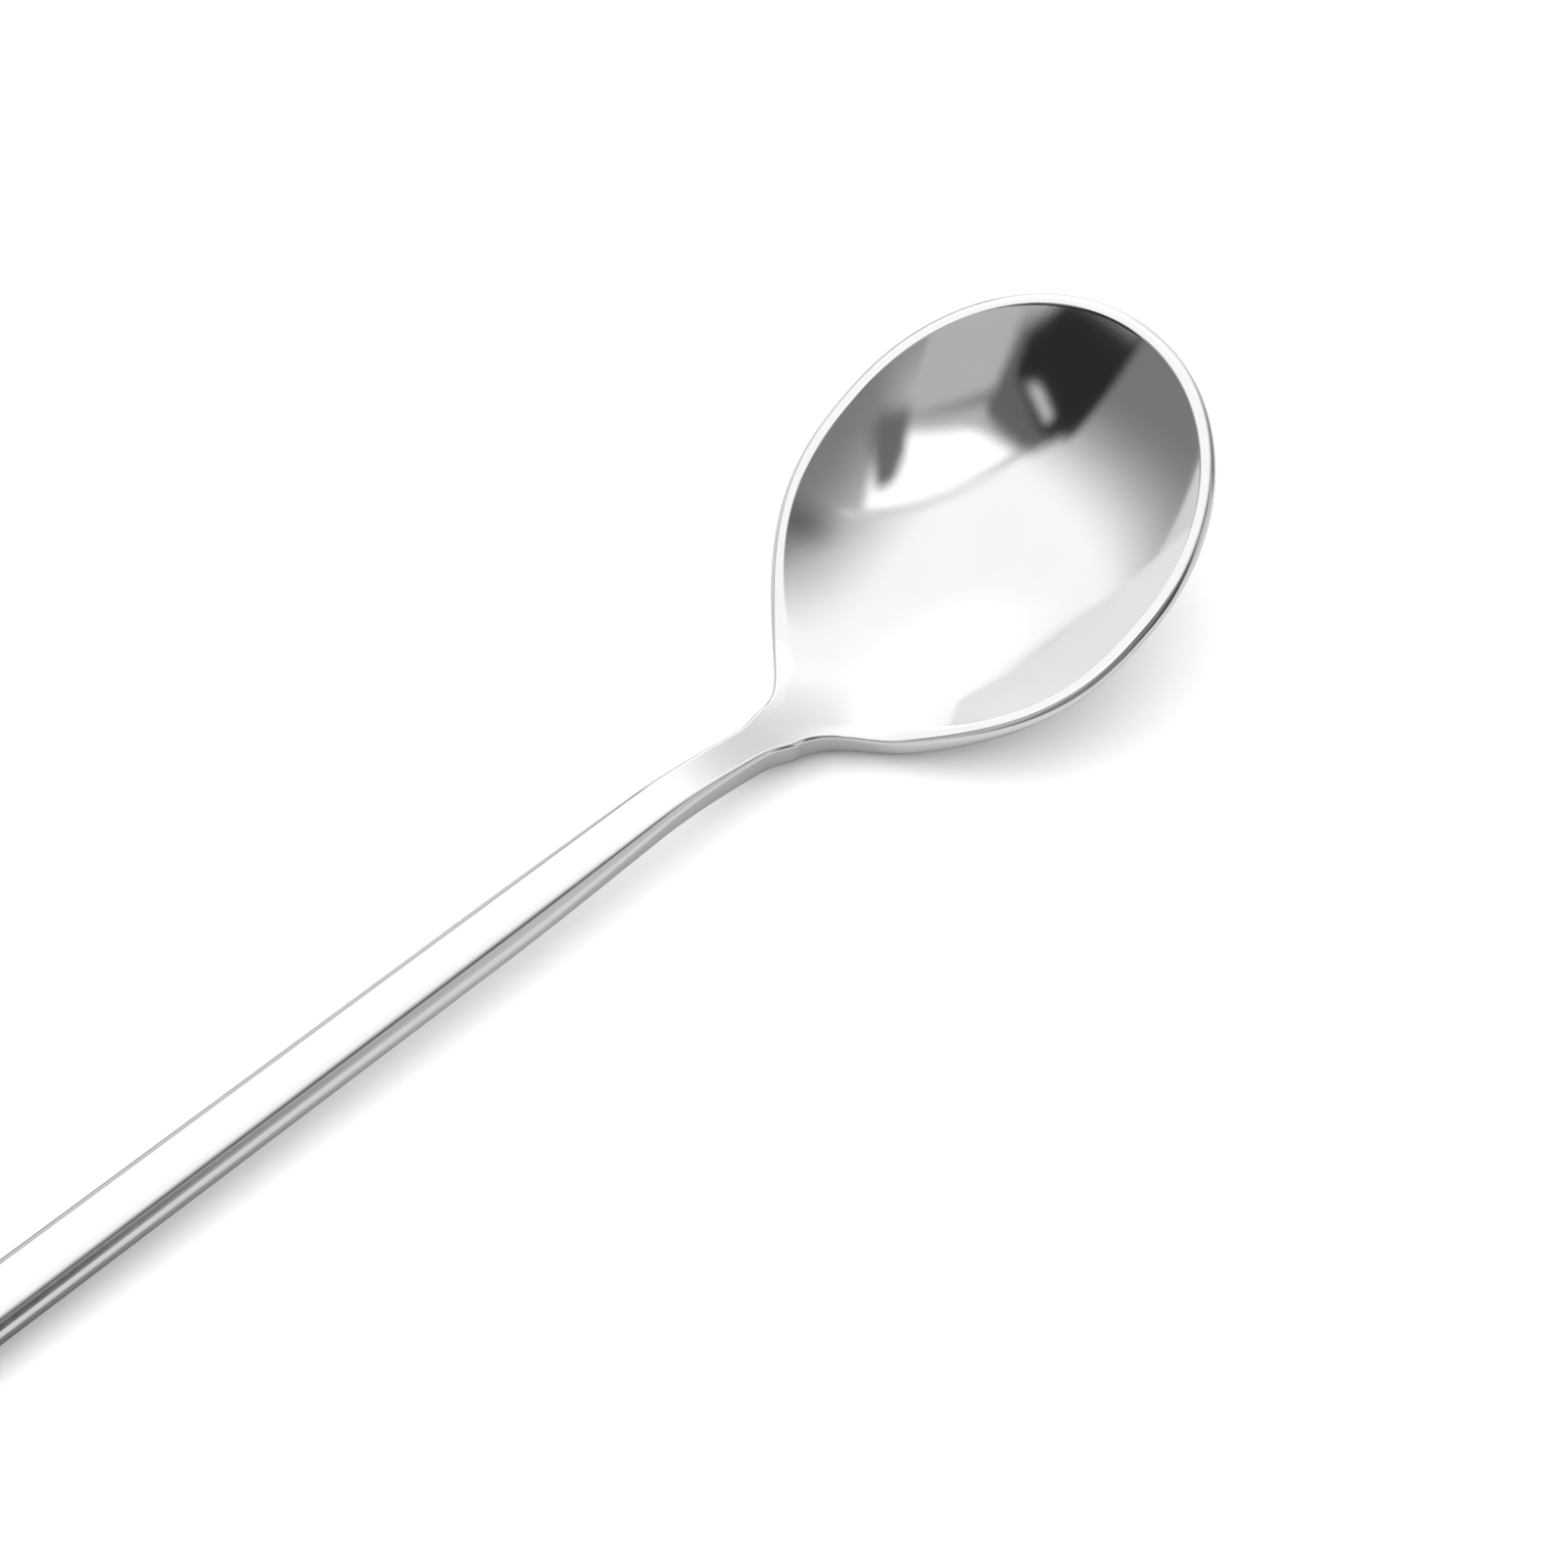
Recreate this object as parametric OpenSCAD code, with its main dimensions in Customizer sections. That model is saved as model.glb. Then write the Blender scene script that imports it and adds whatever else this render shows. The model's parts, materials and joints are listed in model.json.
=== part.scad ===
// Long-handled stirring spoon: a pressed bowl with a solid neck, brazed onto a slim bar handle.
// Stations are distances from the bowl's tip, measured along the straight handle.

/* [Overall] */
// Length from the tip of the bowl to the end of the handle
overall_len = 205; // [170:1:260]

/* [Bowl] */
// Width of the bowl across its rim
bowl_w = 33; // [28:0.5:38]
// Distance from the tip to the widest place of the bowl
tip_len = 16.2; // [13:0.2:20]
// Distance from the widest place to where the heel has run out into the neck
heel_len = 22.8; // [22:0.2:28]
// How full the heel stays before it draws in
heel_fullness = 2.7; // [2.2:0.1:3.4]
// How sharply the heel draws in towards the neck
heel_draw = 1.6; // [1.3:0.05:1.9]
// Distance from the widest place to the back end of the hollow
hollow_len = 19.6; // [18:0.2:21.6]
// Depth of the hollow below the rim at the widest place
hollow_depth = 7; // [5.5:0.1:9]
// How gently the hollow fades out at the heel
hollow_fade = 1.7; // [1.4:0.05:2]
// How full the outside of the bowl is: smaller is fuller
outside_curve = 0.8; // [0.6:0.05:0.95]
// Thickness of the wall at the rim
rim_wall = 1.25; // [1.2:0.05:1.8]
// Thickness of the bottom of the bowl
base_wall = 1.3; // [1:0.05:2]
// Radius of the rounded edges along the rim and the handle
edge_round = 0.55; // [0.3:0.05:0.55]
// Angle at which the rim rises from the heel to the tip, against the handle
rim_angle = 25.5; // [14:0.5:30]

/* [Neck] */
// Width of the neck where it leaves the heel
neck_w = 3.1; // [2.8:0.1:4]
// Thickness of the neck where it leaves the heel
neck_t = 2.7; // [2.4:0.05:3.2]
// Extra half width of the fillet between the neck and the heel
neck_fillet = 0.7; // [0.2:0.05:1]
// Length over which that fillet fades
neck_fillet_len = 1.8; // [1.2:0.1:3]
// Drop of the top line from the handle to the heel
neck_drop = 3; // [1.5:0.1:4]
// Station where the straight line of the rim meets the level of the heel
heel_station = 33.5; // [32:0.5:36]
// Rounding of the valley between the rim line and the neck
heel_valley = 0.8; // [0.4:0.1:3]
// Station where the neck begins to rise from the heel
arch_start = 32; // [31:0.5:36]
// Station where the neck has reached the straight handle
arch_end = 53; // [48:0.5:56]

/* [Handle] */
// Width of the handle at its tail
tail_w = 4.6; // [3.4:0.1:6]
// Thickness of the handle at its tail
tail_t = 3.4; // [2.6:0.05:3.8]

/* [Joint] */
// Station of the shoulder where the handle meets the neck
joint_station = 62; // [60:0.5:80]
// Diameter of the round tenon on the handle
tenon_d = 1.6; // [1.2:0.05:1.8]
// Length of the tenon
tenon_len = 6; // [4:0.5:7]
// Thickness of the brazing metal around the tenon
braze_t = 0.1; // [0.05:0.01:0.15]

/* [Hidden] */

// Numbers of steps along the outline and across each rib
tip_steps = 18;
heel_steps = 20;
neck_steps = 10;
tail_steps = 8;
hollow_steps = 10;
edge_steps = 3;
under_steps = 12;
round_fn = 48;

// Exponent of the squared underside of the bar, and the share of the heel where that begins to form
bar_edge = 0.4;
bar_begin = 0.25;
// Share of the neck's half width kept flat on top where the hollow has ended
flat_share = 0.15;

half_w = bowl_w / 2;
heel_end = tip_len + heel_len;
tail_centre = overall_len - tail_w / 2;
tenon_z = -bar_t(joint_station) / 2;
socket_d = tenon_d + 2 * braze_t;
shoulder_point = [-joint_station, 0, tenon_z];
// Length of the tenon's root inside the handle, and how far a cut runs past a face
tenon_root = 3;
cut_run = 1;

steel_colour = [0.80, 0.80, 0.81];
braze_colour = [0.84, 0.79, 0.62];

function clamped(t) = max(0, min(1, t));
function eased(t) = let (c = clamped(t)) c * c * (3 - 2 * c);
function soft_ramp(x, r) = (x + sqrt(x * x + r * r)) / 2;
function mix(a, b, t) = a + (b - a) * t;

// Share of the way from the widest place to the end of the heel
function heel_share(s) = clamped((s - tip_len) / heel_len);

// Share of the way from the widest place to the end of the hollow
function hollow_share(s) = clamped((s - tip_len) / hollow_len);

// Share of the way along the tapered bar of the neck and handle, with its half width and thickness
function bar_way(s) = clamped((s - heel_end) / (tail_centre - heel_end));
function bar_half(s) = mix(neck_w, tail_w, bar_way(s)) / 2;
function bar_t(s) = mix(neck_t, tail_t, bar_way(s));

// Half width of the heel and neck, behind the widest place
function outer_half(s) = let (
    drawn_in = pow(1 - pow(heel_share(s), heel_fullness), heel_draw),
    fillet = neck_fillet * exp(-pow((s - heel_end) / neck_fillet_len, 2)))
  mix(bar_half(s), half_w, drawn_in) + (s < arch_end ? fillet : 0);

// Half width of the hollow, behind the widest place
function inner_half(s) = max((half_w - rim_wall) * (1 - pow(hollow_share(s), heel_fullness)),
                             flat_share * bar_half(s));

// Height of the rim and the neck above the plane of the handle's flat top
function top_z(s) = let (rise = eased((s - arch_start) / (arch_end - arch_start)))
  mix(tan(rim_angle) * soft_ramp(heel_station - s, heel_valley) - neck_drop, 0, rise);

// Depth of the hollow below the rim along the middle
function hollow_z(s) = hollow_depth * pow(1 - pow(hollow_share(s), 2), hollow_fade);

// Thickness of the metal along the middle, and the share of bar in the section
function metal(s) = mix(base_wall, bar_t(s), eased(heel_share(s)));
function bar_share(s) = eased((heel_share(s) - bar_begin) / (1 - bar_begin));

// Places a plan point [station, y] at a height
function at(p, z) = [-p.x, p.y, z];

// Depth at which the hollow meets the rounded inner edge with the same slope
function lip(c, n, depth) = depth * edge_round / (norm(n - c) + edge_round);

// Hollow from the middle out to the inner edge of the rim, a parabola
function hollow_points(c, n, depth) = let (d = lip(c, n, depth))
  [for (j = [0:hollow_steps])
    let (v = sin(90 * j / hollow_steps), p = c + v * (n - c))
    at(p, top_z(p.x) - d - (depth - d) * (1 - v * v))];

// Rounded inner edge of the rim, which levels out
function inner_edge_points(c, n, o, depth) = let (d = lip(c, n, depth), u = (o - n) / norm(o - n))
  [for (j = [1:edge_steps])
    let (v = j / edge_steps, p = n + u * edge_round * v)
    at(p, top_z(p.x) - d * (1 - v) * (1 - v))];

// Rounded outer edge of the rim and of the bar
function outer_edge_points(o, u) =
  [for (j = [0:edge_steps])
    let (g = 90 * j / edge_steps, p = o - u * edge_round * (1 - sin(g)))
    at(p, top_z(p.x) - edge_round * (1 - cos(g)))];

// Underside from the outer edge to the middle, from a bowl's curve to a squared bar
function under_points(c, o, height, bar) = let (
    side = mix(1, bar_edge, bar),
    drop = mix(2 * outside_curve, bar_edge, bar))
  [for (j = [1:under_steps])
    let (g = 90 * j / under_steps, p = c + pow(cos(g), side) * (o - c))
    at(p, top_z(p.x) - edge_round - (height - edge_round) * pow(sin(g), drop))];

// One rib of the bowl, from the middle of the hollow round the rim to the middle of the underside
function bowl_rib(c, n, o, depth, height, bar) = concat(
  hollow_points(c, n, depth),
  inner_edge_points(c, n, o, depth),
  outer_edge_points(o, (o - n) / norm(o - n)),
  under_points(c, o, height, bar));

// One rib of the handle, from the middle of its flat top to the middle of its underside
function bar_rib(c, o) = concat(
  [at(c, top_z(c.x))],
  outer_edge_points(o, (o - c) / norm(o - c)),
  under_points(c, o, bar_t(c.x), 1));

// Ribs across the neck and heel, and ribs fanned round the front of the bowl
function cross_rib(s) = bowl_rib([s, 0], [s, inner_half(s)], [s, outer_half(s)],
                                 hollow_z(s), hollow_z(s) + metal(s), bar_share(s));
function tip_rib(g) = bowl_rib([tip_len, 0],
  [tip_len - (tip_len - rim_wall) * sin(g), (half_w - rim_wall) * cos(g)],
  [tip_len - tip_len * sin(g), half_w * cos(g)],
  hollow_depth, hollow_depth + base_wall, 0);

bowl_half_ribs = concat(
  [for (i = [0:neck_steps - 1]) cross_rib(mix(joint_station, heel_end, sin(90 * i / neck_steps)))],
  [for (i = [0:heel_steps - 1]) cross_rib(mix(heel_end, tip_len, i / heel_steps))],
  [for (i = [0:tip_steps]) tip_rib(90 * i / tip_steps)]);

// Ribs of the handle, fanned round its rounded tail
handle_half_ribs = concat(
  [bar_rib([joint_station, 0], [joint_station, bar_half(joint_station)])],
  [for (i = [0:tail_steps])
    let (g = 90 * i / tail_steps, r = tail_w / 2)
    bar_rib([tail_centre, 0], [tail_centre + r * sin(g), r * cos(g)])]);

// Both sides of a half set of ribs, joined at its last rib
function both_sides(half) = concat(half,
  [for (i = [len(half) - 2:-1:0]) [for (p = half[i]) [p.x, -p.y, p.z]]]);

function joined(ribs) = [for (rib = ribs) for (p = rib) p];

// Triangles between two neighbouring ribs, leaving out the sides that meet in one point
function strip_faces(ribs, i) = let (n = len(ribs[0]), a = i * n, b = a + n)
  [for (j = [0:n - 2]) each concat(
    ribs[i][j] == ribs[i + 1][j] ? [] : [[a + j, b + j, b + j + 1]],
    ribs[i][j + 1] == ribs[i + 1][j + 1] ? [] : [[a + j, b + j + 1, a + j + 1]])];

// Closed skin over a row of ribs, with a flat end fanned from a point between its first and last rib
module skin(ribs, end_point, turned) {
  n = len(ribs[0]);
  last = (len(ribs) - 1) * n;
  hub = len(ribs) * n;
  loop = concat([for (j = [0:n - 1]) j], [for (j = [n - 2:-1:1]) last + j]);
  end_faces = [for (k = [0:len(loop) - 1]) [hub, loop[k], loop[(k + 1) % len(loop)]]];
  faces = concat(end_faces, [for (i = [0:len(ribs) - 2]) each strip_faces(ribs, i)]);
  polyhedron(concat(joined(ribs), [end_point]),
             turned ? [for (f = faces) [f[2], f[1], f[0]]] : faces);
}

bowl_ribs = both_sides(bowl_half_ribs);
handle_ribs = both_sides(handle_half_ribs);
all_points = concat(joined(bowl_ribs), joined(handle_ribs));

// The spoon lies on the underside of its bowl and the end of its handle
rest_angle = max([for (p = joined(bowl_ribs)) atan2(-tail_t - p.z, p.x + tail_centre)]);
function rested_x(p) = p.x * cos(rest_angle) - p.z * sin(rest_angle);
function rested_z(p) = p.x * sin(rest_angle) + p.z * cos(rest_angle);
middle_x = (max([for (p = all_points) rested_x(p)]) + min([for (p = all_points) rested_x(p)])) / 2;
lowest_z = min([for (p = all_points) rested_z(p)]);

// Lays a piece down as the spoon rests, with the origin below the middle of its length
module resting() {
  translate([-middle_x, 0, -lowest_z]) rotate([0, -rest_angle, 0]) children();
}

// Round bar along the joint, from a run behind the shoulder into the neck
module joint_rod(d, behind) {
  translate([-joint_station - behind, 0, tenon_z]) rotate([0, 90, 0])
    cylinder(d = d, h = tenon_len + behind, $fn = round_fn);
}

module bowl() {
  color(steel_colour) resting() difference() {
    skin(bowl_ribs, shoulder_point, true);
    joint_rod(socket_d, cut_run);
  }
}

module handle() {
  color(steel_colour) resting() union() {
    skin(handle_ribs, shoulder_point, false);
    joint_rod(tenon_d, tenon_root);
  }
}

module braze_sleeve() {
  color(braze_colour) resting() difference() {
    joint_rod(socket_d, 0);
    joint_rod(tenon_d, cut_run);
  }
}

bowl();
handle();
braze_sleeve();
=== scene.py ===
"""Long-handled stirring spoon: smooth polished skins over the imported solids, with floor, light and camera."""

import json
import logging
import math
from dataclasses import dataclass
from enum import Enum
from typing import Callable, Generic, Mapping, Sequence, TypeVar

import bmesh
import bpy
from mathutils import Matrix, Vector


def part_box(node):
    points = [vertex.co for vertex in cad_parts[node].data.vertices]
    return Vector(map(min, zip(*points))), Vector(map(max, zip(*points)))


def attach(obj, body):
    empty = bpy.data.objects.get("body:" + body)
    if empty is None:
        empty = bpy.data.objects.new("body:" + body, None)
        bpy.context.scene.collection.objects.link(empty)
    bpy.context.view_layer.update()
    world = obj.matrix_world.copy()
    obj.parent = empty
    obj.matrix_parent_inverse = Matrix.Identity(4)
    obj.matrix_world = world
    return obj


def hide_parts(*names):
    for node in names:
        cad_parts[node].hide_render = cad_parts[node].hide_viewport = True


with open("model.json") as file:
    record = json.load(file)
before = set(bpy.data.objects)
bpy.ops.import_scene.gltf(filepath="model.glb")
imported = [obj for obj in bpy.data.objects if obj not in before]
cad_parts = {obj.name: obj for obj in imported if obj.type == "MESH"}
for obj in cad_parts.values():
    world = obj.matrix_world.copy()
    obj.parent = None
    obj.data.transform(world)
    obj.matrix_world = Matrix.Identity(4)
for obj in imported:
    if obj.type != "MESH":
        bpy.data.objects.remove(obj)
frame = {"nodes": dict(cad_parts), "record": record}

log = logging.getLogger("spoon")

Found = TypeVar("Found")
Colour = tuple[float, float, float]

SLOPE_STEP = 1e-6
MERGE_DISTANCE = 1e-7
HALF_SHEET = 0.5
SHARP_ANGLE = math.radians(35)
WEAR_LAYER = "edge_wear"
WEAR_START = 0.35
WEAR_FULL = 0.7
WEAR_DETAIL = 4.0
LINE_DETAIL = 3.0
LINE_RAGGEDNESS = 0.6
HAZE_DETAIL = 2.0


class Slot(Enum):
    """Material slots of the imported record."""

    STEEL = "polished_steel"
    BRAZE = "braze_metal"


class GrainRun(Enum):
    """Way in which a piece was polished, as the stretch of its grain along X, Y and Z."""

    ALONG = (0.04, 1.0, 1.0)
    AROUND = (1.0, 0.06, 0.06)


def clamped(share: float) -> float:
    """Limits a share to the range from 0 to 1."""
    return max(0.0, min(1.0, share))


def mix(start: float, end: float, share: float) -> float:
    """Goes a share of the way from one value to another."""
    return start + (end - start) * share


def eased(share: float) -> float:
    """Smooth step from 0 to 1."""
    part = clamped(share)
    return part * part * (3 - 2 * part)


def soft_ramp(value: float, rounding: float) -> float:
    """Ramp that is 0 below 0 and the value above it, with a rounded bend."""
    return (value + math.hypot(value, rounding)) / 2


def steepness(curve: Callable[[float], float], place: float) -> float:
    """Slope of a curve at a place."""
    return (curve(place + SLOPE_STEP) - curve(place - SLOPE_STEP)) / (2 * SLOPE_STEP)


@dataclass(frozen=True)
class SpoonForm:
    """Driving sizes of the spoon in metres, and the curves that follow from them.

    Stations are distances from the tip along the straight handle. The design frame has the tip at x = 0,
    the handle towards -X and the handle's flat top at z = 0.
    """

    overall_length: float = 0.205
    bowl_width: float = 0.033
    tip_length: float = 0.0162
    heel_length: float = 0.0228
    heel_fullness: float = 2.7
    heel_draw: float = 1.6
    hollow_length: float = 0.0196
    hollow_depth: float = 0.007
    hollow_fade: float = 1.7
    trough_start: float = 0.03
    trough_end: float = 0.04
    trough_share: float = 0.62
    outside_curve: float = 0.8
    rim_wall: float = 0.00125
    base_wall: float = 0.0013
    inner_round: float = 0.0003
    rim_round: float = 0.0009
    neck_round: float = 0.00035
    bar_round: float = 0.00145
    bar_swell: float = 0.0007
    bar_round_span: float = 0.03
    heel_blend: float = 0.8
    rim_angle: float = 25.5
    neck_width: float = 0.0031
    neck_thickness: float = 0.0027
    neck_fillet: float = 0.0007
    neck_fillet_length: float = 0.0018
    neck_drop: float = 0.003
    heel_station: float = 0.0335
    heel_valley: float = 0.0008
    arch_start: float = 0.032
    arch_end: float = 0.053
    tail_width: float = 0.0046
    tail_thickness: float = 0.0034
    joint_station: float = 0.062
    tenon_radius: float = 0.0008
    tenon_length: float = 0.006
    braze_thickness: float = 0.0001
    lift: float = 0.000006
    neck_edge: float = 0.4
    bar_edge: float = 0.72
    bar_begin: float = 0.25

    @property
    def half_width(self) -> float:
        """Half the width of the bowl."""
        return self.bowl_width / 2

    @property
    def heel_end(self) -> float:
        """Station where the heel has run out into the neck."""
        return self.tip_length + self.heel_length

    @property
    def tail_centre(self) -> float:
        """Station of the centre of the rounded tail."""
        return self.overall_length - self.tail_width / 2

    def heel_share(self, station: float) -> float:
        """Share of the way from the widest place to the end of the heel."""
        return clamped((station - self.tip_length) / self.heel_length)

    def hollow_share(self, station: float) -> float:
        """Share of the way from the widest place to the end of the hollow."""
        return clamped((station - self.tip_length) / self.hollow_length)

    def bar_way(self, station: float) -> float:
        """Share of the way along the tapered bar of neck and handle."""
        return clamped((station - self.heel_end) / (self.tail_centre - self.heel_end))

    def bar_half(self, station: float) -> float:
        """Half width of the tapered bar with its full round sides."""
        return mix(self.neck_width, self.tail_width, self.bar_way(station)) / 2 + self.swell(station)

    def roundness(self, station: float) -> float:
        """How far the squared section of the neck has turned into the bar with full round sides."""
        return eased((station - self.heel_end) / self.bar_round_span)

    def swell(self, station: float) -> float:
        """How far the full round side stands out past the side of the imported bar."""
        return self.bar_swell * self.roundness(station)

    def lower_edge(self, station: float) -> float:
        """How rounded the lower corner of neck and bar is."""
        return mix(self.neck_edge, self.bar_edge, self.roundness(station))

    def bar_thickness(self, station: float) -> float:
        """Thickness of the tapered bar."""
        return mix(self.neck_thickness, self.tail_thickness, self.bar_way(station))

    def outer_half(self, station: float) -> float:
        """Half width of heel and neck behind the widest place.

        Args:
            station: distance from the tip.

        Returns:
            The half width, with the fillet that softens the corner between heel and neck.
        """
        drawn_in = (1 - self.heel_share(station) ** self.heel_fullness) ** self.heel_draw
        width = mix(self.bar_half(station), self.half_width, drawn_in)
        if station >= self.arch_end:
            return width
        away = (station - self.heel_end) / self.neck_fillet_length
        return width + self.neck_fillet * math.exp(-away ** 2)

    def inner_half(self, station: float) -> float:
        """Half width of the hollow and its trough behind the widest place."""
        hollow = (self.half_width - self.rim_wall) * (1 - self.hollow_share(station) ** self.heel_fullness)
        return max(hollow, self.trough_share * (self.outer_half(station) - self.edge_round(station)))

    def edge_round(self, station: float) -> float:
        """Radius of the rounded outer edge, from that of the rim over that of the neck to that of the bar."""
        heel = mix(self.rim_round, self.neck_round, self.bar_share(station))
        return mix(heel, self.bar_round, self.roundness(station))

    def top(self, station: float) -> float:
        """Height of rim and neck above the plane of the handle's flat top.

        Args:
            station: distance from the tip.

        Returns:
            The height, which falls along the rim to the neck and comes up to 0 at the handle.
        """
        climb = math.tan(math.radians(self.rim_angle))
        rim = climb * soft_ramp(self.heel_station - station, self.heel_valley)
        rise = eased((station - self.arch_start) / (self.arch_end - self.arch_start))
        return mix(rim - self.neck_drop, 0.0, rise)

    def hollow(self, station: float) -> float:
        """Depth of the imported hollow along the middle, behind the widest place."""
        return self.hollow_depth * (1 - self.hollow_share(station) ** 2) ** self.hollow_fade

    def floor(self, station: float) -> float:
        """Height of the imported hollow's middle above the plane of the handle's flat top."""
        return self.top(station) - self.hollow(station)

    def trough(self, station: float) -> float:
        """Depth of the hollow with the shallow trough in which it runs out into the neck.

        Args:
            station: distance from the tip.

        Returns:
            The depth along the middle, whose slope goes over evenly from the hollow to the neck.
        """
        span = self.trough_end - self.trough_start
        share = (station - self.trough_start) / span
        if share <= 0.0 or share >= 1.0:
            return self.hollow(station)
        slope_in = span * steepness(self.floor, self.trough_start)
        slope_out = span * steepness(self.top, self.trough_end)
        level = mix(self.floor(self.trough_start), self.top(self.trough_end), eased(share))
        level += share * (1 - share) * ((1 - share) * slope_in - share * slope_out)
        return max(self.top(station) - level, 0.0)

    def metal(self, station: float) -> float:
        """Thickness of the metal along the middle, behind the widest place."""
        return mix(self.base_wall, self.bar_thickness(station), eased(self.heel_share(station)))

    def bar_share(self, station: float) -> float:
        """How far the section has turned from a bowl into a bar."""
        return eased((self.heel_share(station) - self.bar_begin) / (1 - self.bar_begin))


@dataclass(frozen=True)
class Rib:
    """Half a section of the spoon, from the middle of its top round its edge to the middle of its underside.

    The plan points hold a station and a distance to the side. Each curve runs from 0 to 1.
    """

    form: SpoonForm
    centre: Vector
    inner: Vector
    outer: Vector
    depth: float
    height: float
    bar: float

    @property
    def outwards(self) -> Vector:
        """Direction in plan from the middle to the rim."""
        return (self.outer - self.centre).normalized()

    @property
    def outer_round(self) -> float:
        """Radius of the rounded outer edge."""
        return self.form.edge_round(self.centre.x)

    @property
    def inner_round(self) -> float:
        """Width of the rounded inner edge, which gets broad where the heel runs out into the neck."""
        wall = (self.outer - self.inner).length
        return max(self.form.inner_round, self.form.heel_blend * wall - self.outer_round)

    @property
    def lip(self) -> float:
        """Depth at which the hollow meets the rounded inner edge with the same slope."""
        reach = (self.inner - self.centre).length
        return self.depth * self.inner_round / (reach + self.inner_round)

    def at(self, plan: Vector, below: float) -> Vector:
        """Point of the design frame over a plan point, a distance below the rim there."""
        return Vector((-plan.x, plan.y, self.form.top(plan.x) - below))

    def hollow(self, share: float) -> Vector:
        """Hollow, a parabola from its middle to the inner edge of the rim.

        Args:
            share: way along the curve, from 0 to 1.

        Returns:
            The point there.
        """
        reach = math.sin(math.pi / 2 * share)
        below = self.lip + (self.depth - self.lip) * (1 - reach * reach)
        return self.at(self.centre.lerp(self.inner, reach), below)

    def flat_top(self, share: float) -> Vector:
        """Flat top of the bar, from its middle to its rounded edge."""
        edge = self.outer - self.outwards * self.outer_round
        return self.at(self.centre.lerp(edge, 1 - (1 - share) ** 2), 0.0)

    def inner_edge(self, share: float) -> Vector:
        """Rounded inner edge of the rim, which levels out."""
        return self.at(self.inner + self.outwards * self.inner_round * share, self.lip * (1 - share) ** 2)

    def land(self, share: float) -> Vector:
        """Flat land of the rim between its rounded edges."""
        start = self.inner + self.outwards * self.inner_round
        return self.at(start.lerp(self.outer - self.outwards * self.outer_round, share), 0.0)

    def outer_edge(self, share: float) -> Vector:
        """Rounded outer edge of the rim or the bar.

        Args:
            share: way along the curve, from 0 to 1.

        Returns:
            The point there.
        """
        turn = math.pi / 2 * share
        inset = self.outer_round * (1 - math.sin(turn))
        return self.at(self.outer - self.outwards * inset, self.outer_round * (1 - math.cos(turn)))

    def underside(self, share: float) -> Vector:
        """Underside from the outer edge to the middle, with a bowl's curve or a bar's lower corner.

        Args:
            share: way along the curve, from 0 to 1.

        Returns:
            The point there.
        """
        turn = math.pi / 2 * share
        corner = self.form.lower_edge(self.centre.x)
        reach = max(math.cos(turn), 0.0) ** mix(1.0, corner, self.bar)
        drop = math.sin(turn) ** mix(2 * self.form.outside_curve, corner, self.bar)
        below = self.outer_round + (self.height - self.outer_round) * drop
        return self.at(self.centre.lerp(self.outer, reach), below)


@dataclass(frozen=True)
class Stretch(Generic[Found]):
    """A number of steps with the curve that they follow from 0 to 1, and how worn its middle is."""

    steps: int
    curve: Callable[[float], Found]
    wear: float = 0.0


def follow(share: float, stretches: Sequence[Stretch[Found]]) -> tuple[Found, float]:
    """Follows a row of stretches.

    Args:
        share: way along the whole row, from 0 to 1.
        stretches: the stretches in order.

    Returns:
        What the curve of the stretch that holds that place gives there, and how worn the place is.
    """
    place = share * sum(stretch.steps for stretch in stretches)
    for stretch in stretches:
        if place <= stretch.steps or stretch is stretches[-1]:
            break
        place -= stretch.steps
    part = clamped(place / stretch.steps)
    return stretch.curve(part), stretch.wear * math.sin(math.pi * part)


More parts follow.
